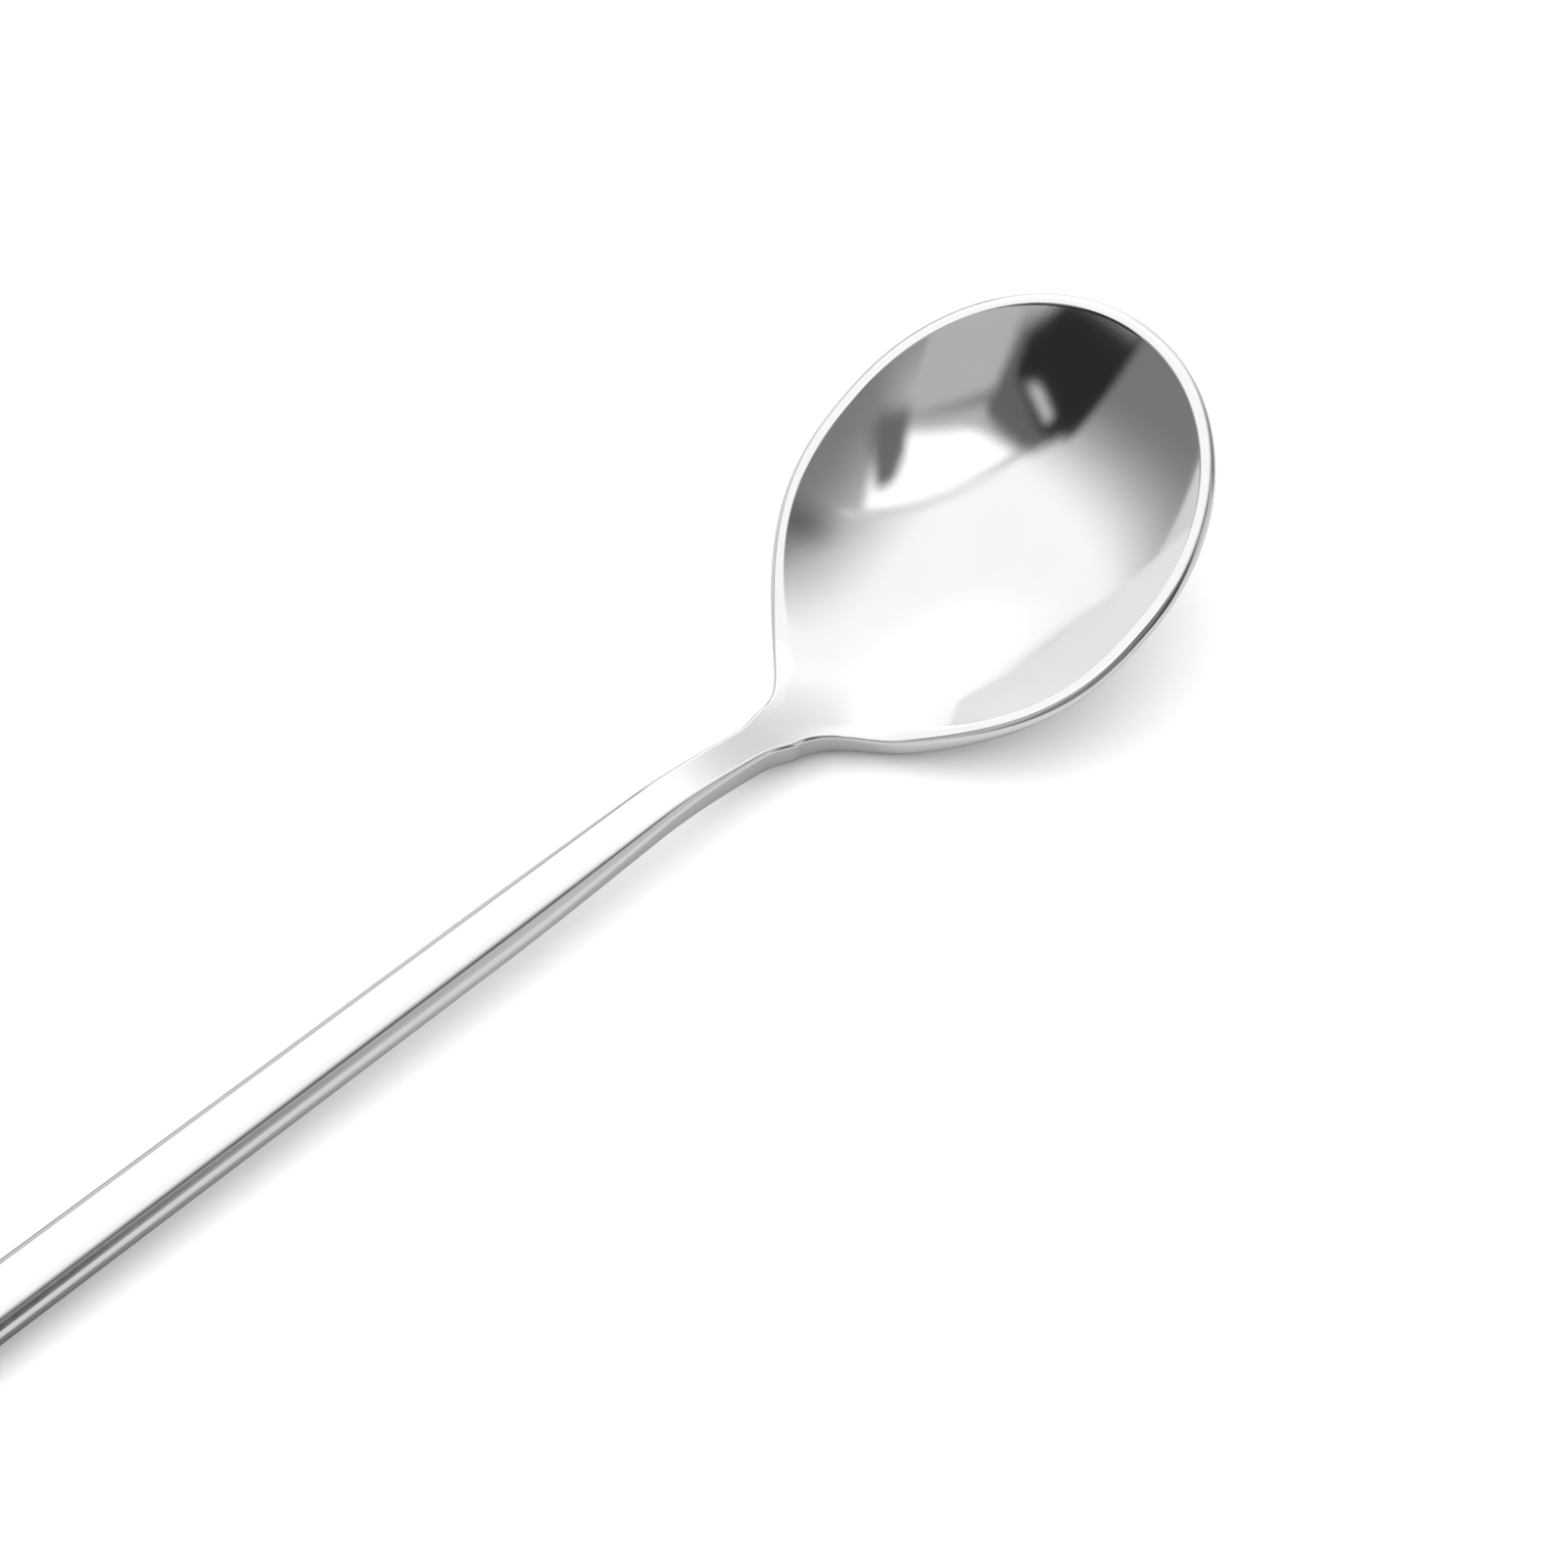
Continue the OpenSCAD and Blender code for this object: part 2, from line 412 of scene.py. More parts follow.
@dataclass
class Skin:
    """Builds one closed skin of the spoon from a flat sheet that is wrapped over half of it and mirrored."""

    form: SpoonForm
    tenon_segments: int = 48

    def wrapped(self, columns: Sequence[Stretch[Rib]],
                rows: Callable[[Rib], list[Stretch[Vector]]]) -> bmesh.types.BMesh:
        """Wraps a grid over one side of a piece and mirrors it.

        Args:
            columns: stretches along the outline, whose curves give ribs.
            rows: gives the stretches round a rib, whose curves give points.

        Returns:
            The mesh in the design frame, open at the shoulder.
        """
        count_along = sum(stretch.steps for stretch in columns)
        count_round = sum(stretch.steps for stretch in rows(follow(0.0, columns)[0]))
        sheet = bmesh.new()
        bmesh.ops.create_grid(sheet, x_segments=count_along, y_segments=count_round, size=HALF_SHEET)
        wear = sheet.verts.layers.float.new(WEAR_LAYER)
        for vert in sheet.verts:
            rib = follow(vert.co.x + HALF_SHEET, columns)[0]
            vert.co, vert[wear] = follow(vert.co.y + HALF_SHEET, rows(rib))
        bmesh.ops.remove_doubles(sheet, verts=sheet.verts, dist=MERGE_DISTANCE)
        whole = sheet.verts[:] + sheet.edges[:] + sheet.faces[:]
        bmesh.ops.mirror(sheet, geom=whole, axis="Y", merge_dist=MERGE_DISTANCE)
        bmesh.ops.remove_doubles(sheet, verts=sheet.verts, dist=MERGE_DISTANCE)
        return sheet

    def close_shoulder(self, skin: bmesh.types.BMesh, radius: float) -> None:
        """Closes the shoulder round a tenon or its socket.

        Args:
            skin: the open mesh, in the design frame.
            radius: radius of the tenon or socket.
        """
        rim = [edge for edge in skin.edges if edge.is_boundary]
        middle = -self.form.bar_thickness(self.form.joint_station) / 2
        upright = Matrix.Rotation(math.pi / 2, 4, "Y")
        place = Matrix.Translation((-self.form.joint_station, 0.0, middle)) @ upright
        ring = bmesh.ops.create_circle(skin, segments=self.tenon_segments, radius=radius, matrix=place)
        mouth = list({edge for vert in ring["verts"] for edge in vert.link_edges})
        bmesh.ops.bridge_loops(skin, edges=rim + mouth)
        grown = bmesh.ops.extrude_edge_only(skin, edges=mouth)["geom"]
        end_verts = [item for item in grown if isinstance(item, bmesh.types.BMVert)]
        end_edges = [item for item in grown if isinstance(item, bmesh.types.BMEdge) and item.is_boundary]
        bmesh.ops.translate(skin, verts=end_verts, vec=(self.form.tenon_length, 0.0, 0.0))
        bmesh.ops.contextual_create(skin, geom=end_edges)

    def finished(self, skin: bmesh.types.BMesh, name: str, resting: Matrix) -> bpy.types.Object:
        """Lays a skin down at rest and makes an object of it.

        Args:
            skin: the closed mesh in the design frame, which is freed.
            name: name of the piece.
            resting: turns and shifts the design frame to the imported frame.

        Returns:
            The new object, linked to the scene.
        """
        bmesh.ops.recalc_face_normals(skin, faces=skin.faces)
        bmesh.ops.transform(skin, matrix=resting, verts=skin.verts)
        for face in skin.faces:
            face.smooth = True
        for edge in skin.edges:
            edge.smooth = edge.calc_face_angle(0.0) < SHARP_ANGLE
        mesh = bpy.data.meshes.new(name)
        skin.to_mesh(mesh)
        skin.free()
        piece = bpy.data.objects.new(name, mesh)
        bpy.context.scene.collection.objects.link(piece)
        return piece


def resting_place(form: SpoonForm) -> Matrix:
    """Finds how the spoon lies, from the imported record's flat face on the handle and the box of the bowl.

    Args:
        form: the spoon's sizes.

    Returns:
        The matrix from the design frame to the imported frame.
    """
    face = next(mount for mount in frame["record"]["mounts"] if mount["name"] == "handle_top")
    normal = Vector(face["axis"])
    point = Vector(face["pos_m"])
    turn = Matrix.Rotation(-math.atan2(-normal.x, normal.z), 4, "Y")
    tip = turn @ Vector((0.0, 0.0, form.top(0.0) - form.rim_round))
    shift_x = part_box("bowl")[1].x - tip.x
    slope = -normal.x / normal.z
    shift_z = point.z - slope * (point.x - shift_x)
    return Matrix.Translation((shift_x, 0.0, shift_z + form.lift)) @ turn


@dataclass
class Bowl:
    """Pressed bowl with its heel and solid neck."""

    form: SpoonForm
    neck_steps: int = 44
    heel_steps: int = 64
    tip_steps: int = 60
    hollow_steps: int = 44
    edge_steps: int = 8
    land_steps: int = 2
    under_steps: int = 40
    inner_wear: float = 0.5
    outer_wear: float = 1.0

    def cross_rib(self, station: float) -> Rib:
        """Rib across the heel or neck."""
        form = self.form
        return Rib(
            form, Vector((station, 0.0)), Vector((station, form.inner_half(station))),
            Vector((station, form.outer_half(station))), form.trough(station),
            form.hollow(station) + form.metal(station), form.bar_share(station))

    def neck_rib(self, share: float) -> Rib:
        """Rib of the neck, closer together towards the heel."""
        way = math.sin(math.pi / 2 * share)
        return self.cross_rib(mix(self.form.joint_station, self.form.heel_end, way))

    def heel_rib(self, share: float) -> Rib:
        """Rib of the heel, from the neck to the widest place."""
        return self.cross_rib(mix(self.form.heel_end, self.form.tip_length, share))

    def tip_rib(self, share: float) -> Rib:
        """Rib fanned round the front of the bowl.

        Args:
            share: way along the row of ribs, from 0 to 1.

        Returns:
            The rib there.
        """
        form = self.form
        along, across = math.sin(math.pi / 2 * share), math.cos(math.pi / 2 * share)
        inner = Vector((form.tip_length - (form.tip_length - form.rim_wall) * along,
                        (form.half_width - form.rim_wall) * across))
        outer = Vector((form.tip_length * (1 - along), form.half_width * across))
        return Rib(form, Vector((form.tip_length, 0.0)), inner, outer,
                   form.hollow_depth, form.hollow_depth + form.base_wall, 0.0)

    def rows(self, rib: Rib) -> list[Stretch[Vector]]:
        """Stretches round a rib of the bowl."""
        return [
            Stretch(self.hollow_steps, rib.hollow),
            Stretch(self.edge_steps, rib.inner_edge, self.inner_wear),
            Stretch(self.land_steps, rib.land),
            Stretch(self.edge_steps, rib.outer_edge, self.outer_wear),
            Stretch(self.under_steps, rib.underside)]

    def build(self, resting: Matrix) -> bpy.types.Object:
        """Builds the bowl.

        Args:
            resting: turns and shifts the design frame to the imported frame.

        Returns:
            The bowl's object.
        """
        skin = Skin(self.form)
        columns = [Stretch(self.neck_steps, self.neck_rib), Stretch(self.heel_steps, self.heel_rib),
                   Stretch(self.tip_steps, self.tip_rib)]
        mesh = skin.wrapped(columns, self.rows)
        skin.close_shoulder(mesh, self.form.tenon_radius + self.form.braze_thickness)
        return skin.finished(mesh, "bowl_skin", resting)

    def dress(self, piece: bpy.types.Object, finish: "MetalFinish") -> None:
        """Gives the bowl its finish and lets it stand for the bowl's solid."""
        stand_in(piece, "bowl", finish)


@dataclass
class Handle:
    """Tapered bar with its rounded tail and its tenon."""

    form: SpoonForm
    bar_steps: int = 90
    tail_steps: int = 20
    top_steps: int = 6
    edge_steps: int = 8
    under_steps: int = 36
    edge_wear: float = 0.8

    def rib(self, station: float, outer: Vector) -> Rib:
        """Rib of the bar from a place on its middle line to a point on its side."""
        centre = Vector((station, 0.0))
        return Rib(self.form, centre, centre, outer, 0.0, self.form.bar_thickness(station), 1.0)

    def bar_rib(self, share: float) -> Rib:
        """Rib across the bar, from the shoulder to the tail."""
        station = mix(self.form.joint_station, self.form.tail_centre, share)
        return self.rib(station, Vector((station, self.form.bar_half(station))))

    def tail_rib(self, share: float) -> Rib:
        """Rib fanned round the tail.

        Args:
            share: way along the row of ribs, from 0 to 1.

        Returns:
            The rib there.
        """
        turn = math.pi / 2 * share
        centre = self.form.tail_centre
        along = self.form.tail_width / 2 * math.sin(turn)
        across = self.form.bar_half(centre) * math.cos(turn)
        return self.rib(centre, Vector((centre + along, across)))

    def rows(self, rib: Rib) -> list[Stretch[Vector]]:
        """Stretches round a rib of the bar."""
        return [
            Stretch(self.top_steps, rib.flat_top),
            Stretch(self.edge_steps, rib.outer_edge, self.edge_wear),
            Stretch(self.under_steps, rib.underside)]

    def build(self, resting: Matrix) -> bpy.types.Object:
        """Builds the handle.

        Args:
            resting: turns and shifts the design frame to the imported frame.

        Returns:
            The handle's object.
        """
        skin = Skin(self.form)
        columns = [Stretch(self.bar_steps, self.bar_rib), Stretch(self.tail_steps, self.tail_rib)]
        mesh = skin.wrapped(columns, self.rows)
        skin.close_shoulder(mesh, self.form.tenon_radius)
        return skin.finished(mesh, "handle_skin", resting)

    def dress(self, piece: bpy.types.Object, finish: "MetalFinish") -> None:
        """Gives the handle its finish and lets it stand for the handle's solid."""
        stand_in(piece, "handle", finish)


@dataclass
class BrazeSleeve:
    """Thin sleeve of braze metal round the tenon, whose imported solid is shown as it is."""

    node: str = "braze_sleeve"

    def dress(self, finish: "MetalFinish") -> None:
        """Gives the sleeve's solid its finish.

        Args:
            finish: the sleeve's finish.
        """
        slots = frame["nodes"][self.node].data.materials
        slots.clear()
        slots.append(finish.material())


def stand_in(piece: bpy.types.Object, node: str, finish: "MetalFinish") -> None:
    """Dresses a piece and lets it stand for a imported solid.

    Args:
        piece: the new piece.
        node: name of the solid.
        finish: the piece's finish.
    """
    piece.data.materials.append(finish.material())
    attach(piece, "root")
    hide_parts(node)
    log.info("%s: %d faces in %s", piece.name, len(piece.data.polygons), finish.name)


@dataclass(frozen=True)
class PhotoCamera:
    """Camera at the photograph's viewing angle, aimed at a place on the floor."""

    azimuth: float = -42.718
    elevation: float = 53.246
    aim: tuple[float, float, float] = (0.06177, -0.00235, 0.0)
    distance: float = 0.5824
    lens: float = 175.86
    sensor: float = 36.0
    clip_share: float = 0.01

    def place(self) -> bpy.types.Object:
        """Adds the camera and makes it the scene's.

        Returns:
            The camera's object.
        """
        turn, tilt = math.radians(self.azimuth), math.radians(self.elevation)
        back = Vector((math.sin(turn) * math.cos(tilt), -math.cos(turn) * math.cos(tilt), math.sin(tilt)))
        data = bpy.data.cameras.new("photo_camera")
        data.sensor_fit = "HORIZONTAL"
        data.sensor_width = self.sensor
        data.lens = self.lens
        data.clip_start = self.distance * self.clip_share
        camera = bpy.data.objects.new("photo_camera", data)
        camera.location = Vector(self.aim) + back * self.distance
        camera.rotation_mode = "QUATERNION"
        camera.rotation_quaternion = (-back).to_track_quat("-Z", "Y")
        bpy.context.scene.collection.objects.link(camera)
        bpy.context.scene.camera = camera
        return camera


@dataclass
class NodeSketch:
    """Adds linked nodes to one node tree."""

    tree: bpy.types.NodeTree

    def add(self, kind: str, inputs: Mapping[str | int, object], **settings: object) -> bpy.types.Node:
        """Adds one node.

        Args:
            kind: Blender's name of the node.
            inputs: values or sockets for the node's inputs, by name or place.
            settings: the node's own settings.

        Returns:
            The new node.
        """
        node = self.tree.nodes.new(kind)
        for name, value in settings.items():
            setattr(node, name, value)
        for name, value in inputs.items():
            if isinstance(value, bpy.types.NodeSocket):
                self.tree.links.new(value, node.inputs[name])
            else:
                node.inputs[name].default_value = value
        return node

    def math(self, operation: str, *terms: object) -> bpy.types.NodeSocket:
        """Adds a sum or other step between values and sockets."""
        return self.add("ShaderNodeMath", dict(enumerate(terms)), operation=operation).outputs[0]

    def blend(self, share: object, start: object, end: object) -> bpy.types.NodeSocket:
        """Adds a blend of two values."""
        return self.add("ShaderNodeMix", {0: share, 2: start, 3: end}, data_type="FLOAT").outputs[0]

    def blend_colours(self, share: object, start: object, end: object) -> bpy.types.NodeSocket:
        """Adds a blend of two colours."""
        return self.add("ShaderNodeMix", {0: share, 6: start, 7: end}, data_type="RGBA").outputs[2]

    def placed(self, group: bpy.types.NodeTree, inputs: Mapping[str | int, object]) -> bpy.types.Node:
        """Places a node group."""
        return self.add("ShaderNodeGroup", inputs, node_tree=group)


def opaque(colour: Colour) -> tuple[float, float, float, float]:
    """Colour with full cover, as the nodes take it."""
    return (*colour, 1.0)


def new_group(name: str, inputs: Mapping[str, str],
              outputs: Sequence[str]) -> tuple[NodeSketch, bpy.types.Node]:
    """Starts a node group with named sockets.

    Args:
        name: name of the group.
        inputs: kind of each input socket by its name.
        outputs: names of the outputs, which are values.

    Returns:
        The group's sketch and its input node.
    """
    tree = bpy.data.node_groups.new(name, "ShaderNodeTree")
    for socket, kind in inputs.items():
        tree.interface.new_socket(socket, in_out="INPUT", socket_type=kind)
    for socket in outputs:
        tree.interface.new_socket(socket, in_out="OUTPUT", socket_type="NodeSocketFloat")
    sketch = NodeSketch(tree)
    return sketch, sketch.add("NodeGroupInput", {})


def polish_grain() -> bpy.types.NodeTree:
    """Node group of the fine lines and the broad haze that polishing leaves.

    Returns:
        The group, with the lines' height and the haze as outputs.
    """
    known = bpy.data.node_groups.get("polish_grain")
    if known:
        return known
    sketch, given = new_group(
        "polish_grain",
        {"Place": "NodeSocketVector", "Stretch": "NodeSocketVector", "Lines": "NodeSocketFloat",
         "Haze": "NodeSocketFloat"},
        ("Height", "Haze"))
    drawn = sketch.add("ShaderNodeVectorMath", {0: given.outputs["Place"], 1: given.outputs["Stretch"]},
                       operation="MULTIPLY")
    lines = sketch.add("ShaderNodeTexNoise", {"Vector": drawn.outputs[0], "Scale": given.outputs["Lines"],
                                              "Detail": LINE_DETAIL, "Roughness": LINE_RAGGEDNESS})
    haze = sketch.add("ShaderNodeTexNoise", {"Vector": given.outputs["Place"], "Scale": given.outputs["Haze"],
                                             "Detail": HAZE_DETAIL})
    sketch.add("NodeGroupOutput", {"Height": lines.outputs[0], "Haze": haze.outputs[0]})
    return sketch.tree


def worn_edges() -> bpy.types.NodeTree:
    """Node group of the uneven wear along the edges.

    Returns:
        The group, with the wear as its output.
    """
    known = bpy.data.node_groups.get("worn_edges")
    if known:
        return known
    sketch, given = new_group(
        "worn_edges",
        {"Place": "NodeSocketVector", "Edge": "NodeSocketFloat", "Patches": "NodeSocketFloat"},
        ("Wear",))
    patches = sketch.add("ShaderNodeTexNoise", {"Vector": given.outputs["Place"],
                                                "Scale": given.outputs["Patches"], "Detail": WEAR_DETAIL})
    uneven = sketch.add("ShaderNodeMapRange", {"Value": patches.outputs[0], "From Min": WEAR_START,
                                               "From Max": WEAR_FULL})
    wear = sketch.math("MULTIPLY", given.outputs["Edge"], uneven.outputs[0])
    sketch.add("NodeGroupOutput", {"Wear": wear})
    return sketch.tree


@dataclass(frozen=True)
class MetalFinish:
    """Polished metal with grain, haze and wear along its edges. Scales are per metre."""

    name: str
    slot: Slot
    run: GrainRun
    colour: Colour = (0.84, 0.84, 0.85)
    haze_colour: Colour = (0.8, 0.8, 0.815)
    worn_colour: Colour = (0.87, 0.87, 0.87)
    roughness: float = 0.05
    haze_roughness: float = 0.09
    worn_roughness: float = 0.14
    lines: float = 5200.0
    haze: float = 190.0
    patches: float = 900.0
    line_depth: float = 1e-6

    def material(self) -> bpy.types.Material:
        """Builds the material.

        Returns:
            The new material.
        """
        material = bpy.data.materials.new(self.name)
        material.use_nodes = True
        sketch = NodeSketch(material.node_tree)
        shader = material.node_tree.nodes["Principled BSDF"]
        place = sketch.add("ShaderNodeTexCoord", {}).outputs["Object"]
        grain = sketch.placed(polish_grain(), {"Place": place, "Stretch": self.run.value, "Lines": self.lines,
                                               "Haze": self.haze})
        edge = sketch.add("ShaderNodeAttribute", {}, attribute_name=WEAR_LAYER)
        worn = sketch.placed(worn_edges(), {"Place": place, "Edge": edge.outputs["Fac"],
                                            "Patches": self.patches})
        hazy = sketch.blend_colours(grain.outputs["Haze"], opaque(self.colour), opaque(self.haze_colour))
        tone = sketch.blend_colours(worn.outputs["Wear"], hazy, opaque(self.worn_colour))
        polish = sketch.blend(grain.outputs["Haze"], self.roughness, self.haze_roughness)
        rough = sketch.blend(worn.outputs["Wear"], polish, self.worn_roughness)
        bump = sketch.add("ShaderNodeBump", {"Height": grain.outputs["Height"], "Distance": self.line_depth})
        shader.inputs["Metallic"].default_value = 1.0
        material.node_tree.links.new(tone, shader.inputs["Base Color"])
        material.node_tree.links.new(rough, shader.inputs["Roughness"])
        material.node_tree.links.new(bump.outputs[0], shader.inputs["Normal"])
        return material


BOWL_POLISH = MetalFinish("bowl_polish", Slot.STEEL, GrainRun.ALONG)
HANDLE_POLISH = MetalFinish("handle_polish", Slot.STEEL, GrainRun.ALONG, haze=120.0)
BRAZE_METAL = MetalFinish(
    "braze", Slot.BRAZE, GrainRun.AROUND, colour=(0.84, 0.79, 0.62), haze_colour=(0.8, 0.74, 0.56),
    worn_colour=(0.86, 0.82, 0.66), roughness=0.25, haze_roughness=0.4)


@dataclass(frozen=True)
class PaperFloor:
    """Wide sheet of pale paper under the spoon, with painted shade that only the steel's reflections show."""

    half_size: float = 1.5
    colour: Colour = (0.9, 0.9, 0.9)
    fibre_colour: Colour = (0.92, 0.92, 0.92)
    fibre_scale: float = 1400.0
    fibre_detail: float = 2.0
    # Share of the paper's tone that the steel's reflections show: painted shade over the whole sheet.
    reflected_shade_share: float = 0.52
    # Painted contact shadow: a darker strip under the bar, seen only in reflections, lighter towards the bowl.
    contact_shadow_share: float = 0.18
    contact_shadow_middle: float = 0.00425
    contact_shadow_half: float = 0.00975
    contact_shadow_edge: float = 0.01275
    contact_shadow_start: float = -0.015
    contact_shadow_end: float = 0.03
    contact_shadow_fade: float = 0.42
    roughness: float = 0.9

    def lay(self) -> bpy.types.Object:
        """Lays the sheet down as part of the stage.

        Returns:
            The floor's object.
        """
        sheet = bmesh.new()
        bmesh.ops.create_grid(sheet, x_segments=1, y_segments=1, size=self.half_size)
        mesh = bpy.data.meshes.new("floor")
        sheet.to_mesh(mesh)
        sheet.free()
        floor = bpy.data.objects.new("floor", mesh)
        bpy.context.scene.collection.objects.link(floor)
        mesh.materials.append(self.material())
        return floor

    def material(self) -> bpy.types.Material:
        """Builds the paper's material, evenly pale itself, with painted shade that only the steel's reflections
        show, deepest in a painted contact shadow under the bar.

        Returns:
            The new material.
        """
        material = bpy.data.materials.new("pale_paper")
        material.use_nodes = True
        sketch = NodeSketch(material.node_tree)
        shader = material.node_tree.nodes["Principled BSDF"]
        place = sketch.add("ShaderNodeTexCoord", {}).outputs["Object"]
        fibre = sketch.add("ShaderNodeTexNoise", {"Vector": place, "Scale": self.fibre_scale,
                                                  "Detail": self.fibre_detail})
        tone = sketch.blend_colours(fibre.outputs[0], opaque(self.colour), opaque(self.fibre_colour))
        axes = sketch.add("ShaderNodeSeparateXYZ", {0: place})
        # Painted contact shadow: a strip beside the bar's middle line, deepest at the tail and fading towards
        # the bowl.
        aside = sketch.math("ABSOLUTE", sketch.math("SUBTRACT", axes.outputs["Y"], self.contact_shadow_middle))
        under = sketch.add("ShaderNodeMapRange", {
            "Value": axes.outputs["X"], "From Min": self.contact_shadow_start, "From Max": self.contact_shadow_end,
            "To Min": self.contact_shadow_share, "To Max": self.contact_shadow_fade})
        mirrored = sketch.add("ShaderNodeMapRange", {
            "Value": aside, "From Min": self.contact_shadow_half, "From Max": self.contact_shadow_edge,
            "To Min": under.outputs[0], "To Max": self.reflected_shade_share}, interpolation_type="SMOOTHSTEP")
        # Only glossy rays see the painted shade and painted contact shadow; the paper itself stays evenly pale.
        path = sketch.add("ShaderNodeLightPath", {})
        dimmed = sketch.blend(path.outputs["Is Glossy Ray"], 1.0, mirrored.outputs[0])
        seen = sketch.add("ShaderNodeVectorMath", {0: tone, "Scale": dimmed}, operation="SCALE")
        material.node_tree.links.new(seen.outputs[0], shader.inputs["Base Color"])
        shader.inputs["Roughness"].default_value = self.roughness
        shader.inputs["Specular IOR Level"].default_value = 0.0
        return material


def sky_point(azimuth: float, elevation: float) -> Vector:
    """Direction from the spoon, by degrees from +X towards +Y and degrees above the floor."""
    turn, rise = math.radians(azimuth), math.radians(elevation)
    return Vector((math.cos(turn) * math.cos(rise), math.sin(turn) * math.cos(rise), math.sin(rise)))


def soft_side() -> bpy.types.NodeTree:
    """Node group of one soft straight side of a panel.

    Returns:
        The group, whose mask is 1 on the inner side.
    """
    sketch, given = new_group(
        "soft_side",
        {"Look": "NodeSocketVector", "Inwards": "NodeSocketVector", "Softness": "NodeSocketFloat"},
        ("Mask",))
    inside = sketch.add("ShaderNodeVectorMath", {0: given.outputs["Look"], 1: given.outputs["Inwards"]},
                        operation="DOT_PRODUCT")
    half = sketch.math("MULTIPLY", given.outputs["Softness"], 0.5)
    mask = sketch.add("ShaderNodeMapRange", {
        "Value": inside.outputs["Value"], "From Min": sketch.math("MULTIPLY", half, -1.0), "From Max": half},
        interpolation_type="SMOOTHSTEP")
    sketch.add("NodeGroupOutput", {"Mask": mask.outputs[0]})
    return sketch.tree


def soft_disc() -> bpy.types.NodeTree:
    """Node group of a soft round patch.

    Returns:
        The group, whose mask is 1 in the middle.
    """
    sketch, given = new_group(
        "soft_disc",
        {"Look": "NodeSocketVector", "Middle": "NodeSocketVector", "Radius": "NodeSocketFloat",
         "Softness": "NodeSocketFloat"},
        ("Mask",))
    near = sketch.add("ShaderNodeVectorMath", {0: given.outputs["Look"], 1: given.outputs["Middle"]},
                      operation="DOT_PRODUCT")
    angle = sketch.math("ARCCOSINE", near.outputs["Value"])
    half = sketch.math("MULTIPLY", given.outputs["Softness"], 0.5)
    mask = sketch.add("ShaderNodeMapRange", {
        "Value": angle, "From Min": sketch.math("ADD", given.outputs["Radius"], half),
        "From Max": sketch.math("SUBTRACT", given.outputs["Radius"], half)}, interpolation_type="SMOOTHSTEP")
    sketch.add("NodeGroupOutput", {"Mask": mask.outputs[0]})
    return sketch.tree


@dataclass(frozen=True)
class Patch:
    """Broad round patch of light or shade in the studio, in degrees."""

    azimuth: float
    elevation: float
    radius: float
    softness: float
    brightness: float

    def mask(self, sketch: NodeSketch, look: bpy.types.NodeSocket, studio: "Studio") -> bpy.types.NodeSocket:
        """Adds the patch's mask."""
        return sketch.placed(studio.disc_group, {
            "Look": look, "Middle": sky_point(self.azimuth, self.elevation),
            "Radius": math.radians(self.radius), "Softness": math.radians(self.softness)}).outputs[0]


@dataclass(frozen=True)
class Panel:
    """Flat card or lit panel of the studio, with azimuth and elevation of its corners in degrees."""

    corners: tuple[tuple[float, float], ...]
    softness: float
    brightness: float

    def mask(self, sketch: NodeSketch, look: bpy.types.NodeSocket, studio: "Studio") -> bpy.types.NodeSocket:
        """Adds the panel's mask, the product of its sides.

        Args:
            sketch: the world's nodes.
            look: the direction that is looked in.
            studio: the studio, for its node groups.

        Returns:
            The mask.
        """
        points = [sky_point(*corner) for corner in self.corners]
        middle = sum(points, Vector())
        mask: bpy.types.NodeSocket | float = 1.0
        for point, after in zip(points, points[1:] + points[:1]):
            inwards = point.cross(after).normalized()
            inwards *= math.copysign(1.0, inwards.dot(middle))
            side = sketch.placed(studio.side_group, {"Look": look, "Inwards": inwards,
                                                     "Softness": math.sin(math.radians(self.softness))})
            mask = sketch.math("MULTIPLY", mask, side.outputs[0])
        return mask


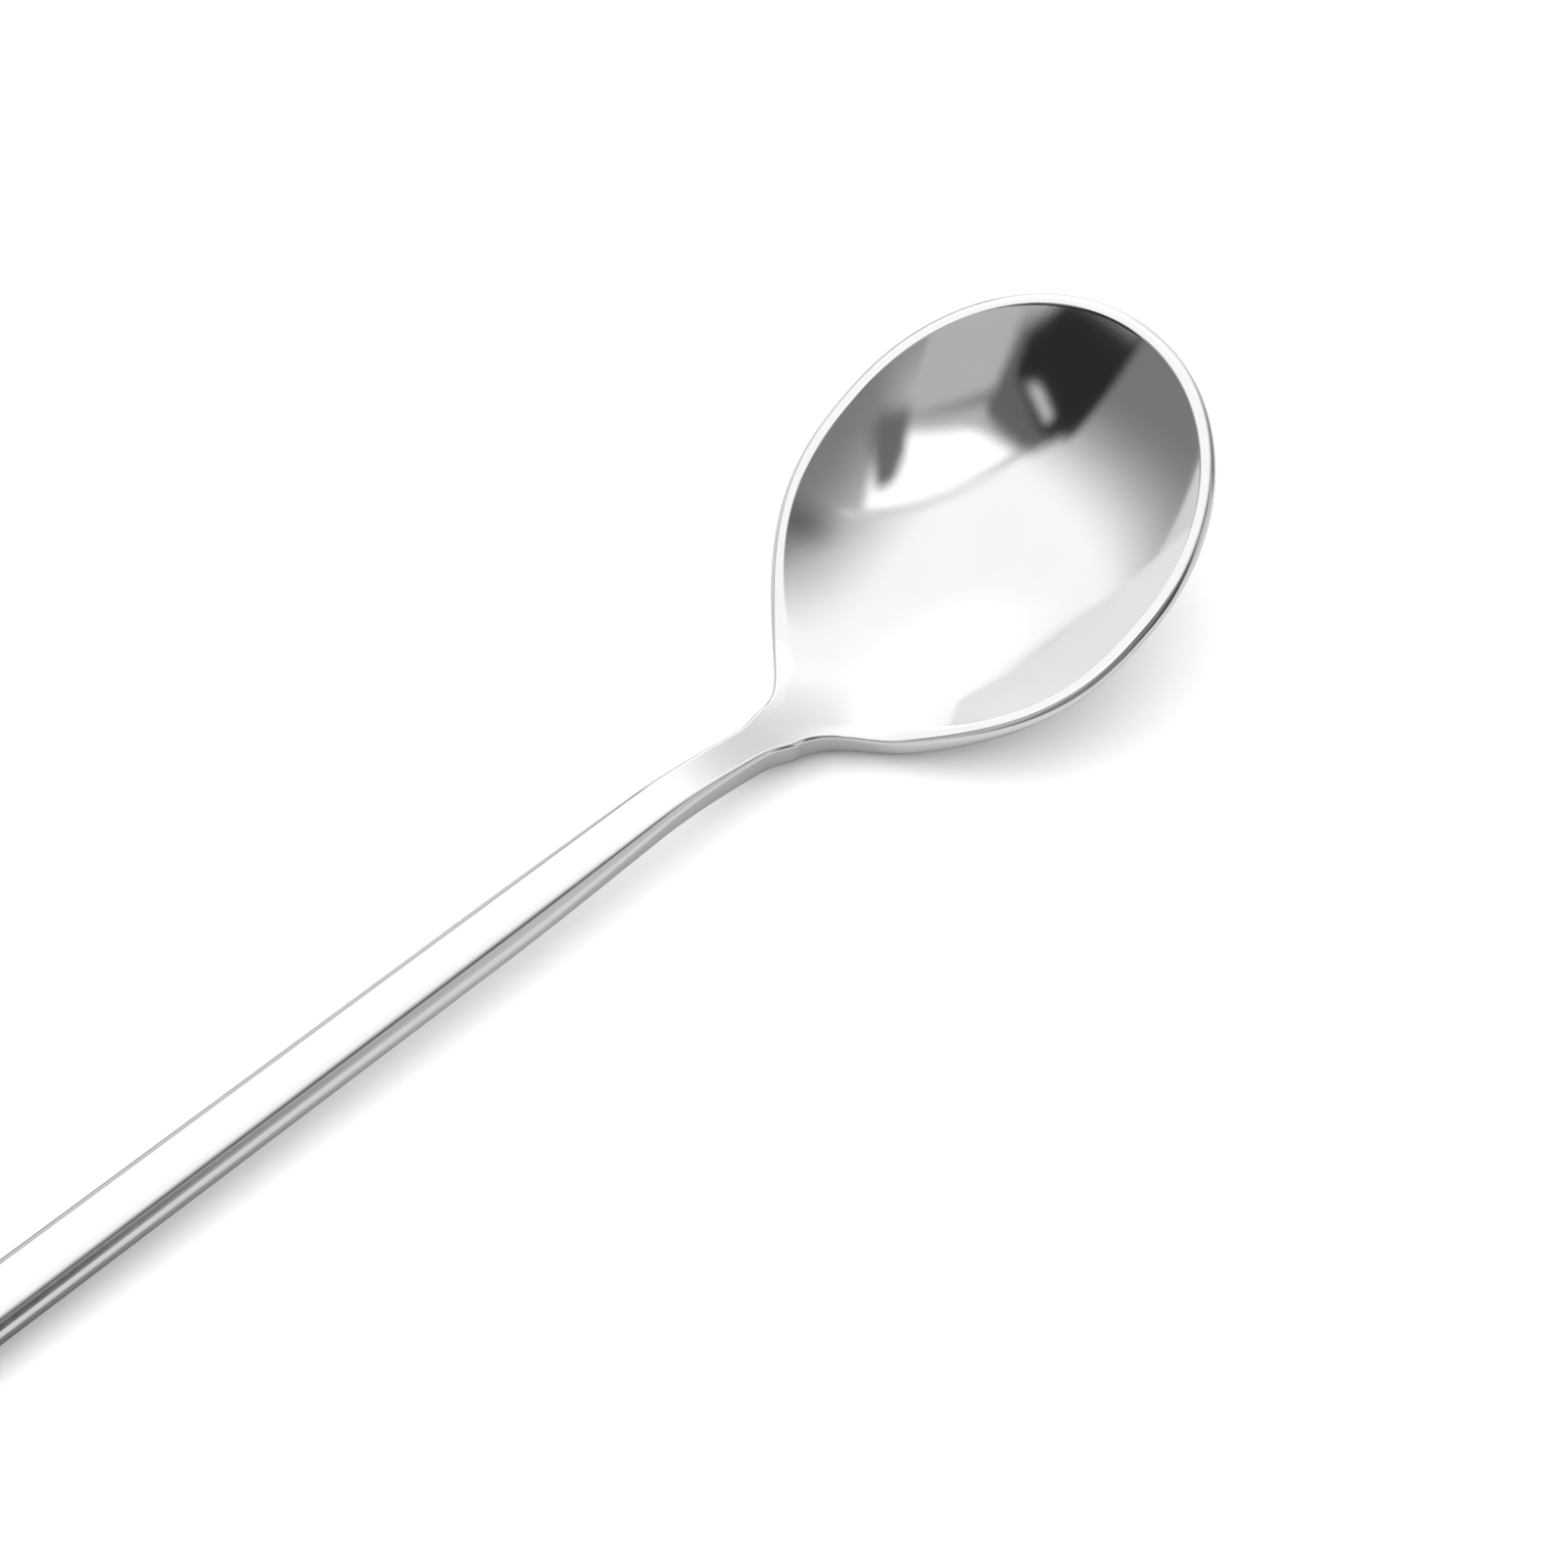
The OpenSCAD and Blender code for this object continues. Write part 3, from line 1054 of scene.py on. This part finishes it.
@dataclass
class Studio:
    """White tent round the spoon, with the darker camera side, its lit panel and a soft key light.

    The patches and panels stand in the order in which they are laid over each other.
    """

    tent: float = 1.13
    shade_low: Patch = Patch(197.0, -60.0, 95.0, 22.0, 0.22)
    shade_left: Patch = Patch(-70.0, -17.0, 83.0, 39.0, 0.24)
    dark_left: Panel = Panel(
        ((-5.0, -6.0), (-5.0, 16.0), (-68.0, 38.0), (-92.0, 44.0), (-98.0, -6.0)), 8.0, 0.08)
    light_left: Panel = Panel(((-36.0, -6.0), (-36.0, 44.0), (-65.0, 44.0), (-74.0, -6.0)), 6.0, 0.6)
    shade_ahead: Patch = Patch(30.5, 29.5, 10.5, 15.0, 0.6)
    dusk: Patch = Patch(77.0, 2.0, 13.0, 16.0, 0.5)
    glow: Patch = Patch(66.0, 42.0, 16.0, 44.0, 1.4)
    blot: Patch = Patch(-57.0, 52.0, 6.0, 15.0, 0.14)
    horizon: Panel = Panel(((64.0, -6.0), (64.0, 13.0), (68.0, 15.0), (68.0, -6.0)), 3.0, 0.02)
    camera_side: Panel = Panel(
        ((153.2, 12.3), (158.6, 24.3), (167.3, 36.5), (-75.0, 63.1), (-101.4, 57.7), (-95.0, 40.0),
         (-110.0, 5.0), (-170.0, -10.0), (152.0, 2.0)), 2.0, 0.52)
    shade: Panel = Panel(
        ((-166.5, 39.3), (-164.6, 38.6), (-169.2, 22.0), (174.9, 18.4), (160.3, 29.9), (167.9, 38.0)),
        5.0, 0.14)
    band: Panel = Panel(
        ((-125.1, 43.9), (-166.6, 33.9), (-168.1, 34.9), (-167.9, 35.6), (-131.3, 43.8)), 4.8, 0.05)
    window: Panel = Panel(((-113.5, 45.6), (-161.5, 42.2), (173.1, 39.9), (-88.3, 62.7)), 4.5, 1.3)
    gap: Panel = Panel(((-76.7, 58.6), (169.0, 37.1), (168.8, 37.1), (-74.6, 61.1)), 5.0, 0.75)
    drop: Panel = Panel(((-110.2, 41.3), (-128.6, 41.2), (-117.3, 57.5), (-104.0, 58.6)), 5.5, 0.16)
    wedge: Panel = Panel(
        ((-172.5, 22.5), (178.4, 15.2), (153.0, 9.7), (155.9, 27.3), (167.6, 33.0), (-172.1, 29.2)),
        4.0, 0.024)
    streak: Panel = Panel(((-178.0, 29.2), (177.6, 27.4), (166.2, 28.7), (168.3, 30.7)), 3.4, 0.65)
    key_azimuth: float = 92.0
    key_elevation: float = 62.0
    key_spread: float = 40.0
    key_strength: float = 0.3
    fill_spread: float = 170.0
    fill_strength: float = 2.25

    def __post_init__(self) -> None:
        """Builds the node groups of the panels."""
        self.side_group = soft_side()
        self.disc_group = soft_disc()

    @property
    def layers(self) -> tuple[Patch | Panel, ...]:
        """Patches and panels, each over those before it."""
        return (
            self.shade_low, self.shade_left, self.dark_left, self.light_left, self.shade_ahead, self.dusk,
            self.glow, self.blot, self.horizon, self.camera_side, self.shade, self.band, self.window,
            self.gap, self.drop, self.wedge, self.streak)

    def surround(self) -> None:
        """Builds the world from its layers."""
        world = bpy.data.worlds.new("studio")
        world.use_nodes = True
        bpy.context.scene.world = world
        sketch = NodeSketch(world.node_tree)
        look = sketch.add("ShaderNodeTexCoord", {}).outputs["Generated"]
        seen: bpy.types.NodeSocket | float = self.tent
        for layer in self.layers:
            seen = sketch.blend(layer.mask(sketch, look, self), seen, layer.brightness)
        world.node_tree.links.new(seen, world.node_tree.nodes["Background"].inputs["Color"])
        bpy.context.scene.view_settings.view_transform = "Standard"

    def soft_light(self, name: str, source: Vector, spread: float, strength: float) -> bpy.types.Object:
        """Adds a broad light that only the floor shows.

        Args:
            name: name of the light.
            source: direction in which the light stands.
            spread: its apparent width in degrees.
            strength: its strength.

        Returns:
            The light's object.
        """
        data = bpy.data.lights.new(name, "SUN")
        data.energy = strength
        data.angle = math.radians(spread)
        light = bpy.data.objects.new(name, data)
        light.rotation_mode = "QUATERNION"
        light.rotation_quaternion = source.to_track_quat("Z", "Y")
        light.visible_glossy = False
        bpy.context.scene.collection.objects.link(light)
        return light

    def light_floor(self) -> None:
        """Adds the key light, whose soft shadows fall towards -Y, and the fill light from above."""
        key = sky_point(self.key_azimuth, self.key_elevation)
        self.soft_light("key_light", key, self.key_spread, self.key_strength)
        self.soft_light("fill_light", Vector((0.0, 0.0, 1.0)), self.fill_spread, self.fill_strength)


def main() -> None:
    """Builds the pieces, dresses them and sets up the stage."""
    logging.basicConfig(level=logging.INFO, format="%(name)s: %(message)s")
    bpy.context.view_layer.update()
    form = SpoonForm()
    resting = resting_place(form)
    bowl = Bowl(form)
    handle = Handle(form)
    bowl.dress(bowl.build(resting), BOWL_POLISH)
    handle.dress(handle.build(resting), HANDLE_POLISH)
    BrazeSleeve().dress(BRAZE_METAL)
    PaperFloor().lay()
    studio = Studio()
    studio.surround()
    studio.light_floor()
    PhotoCamera().place()


if __name__ == "__main__":
    main()
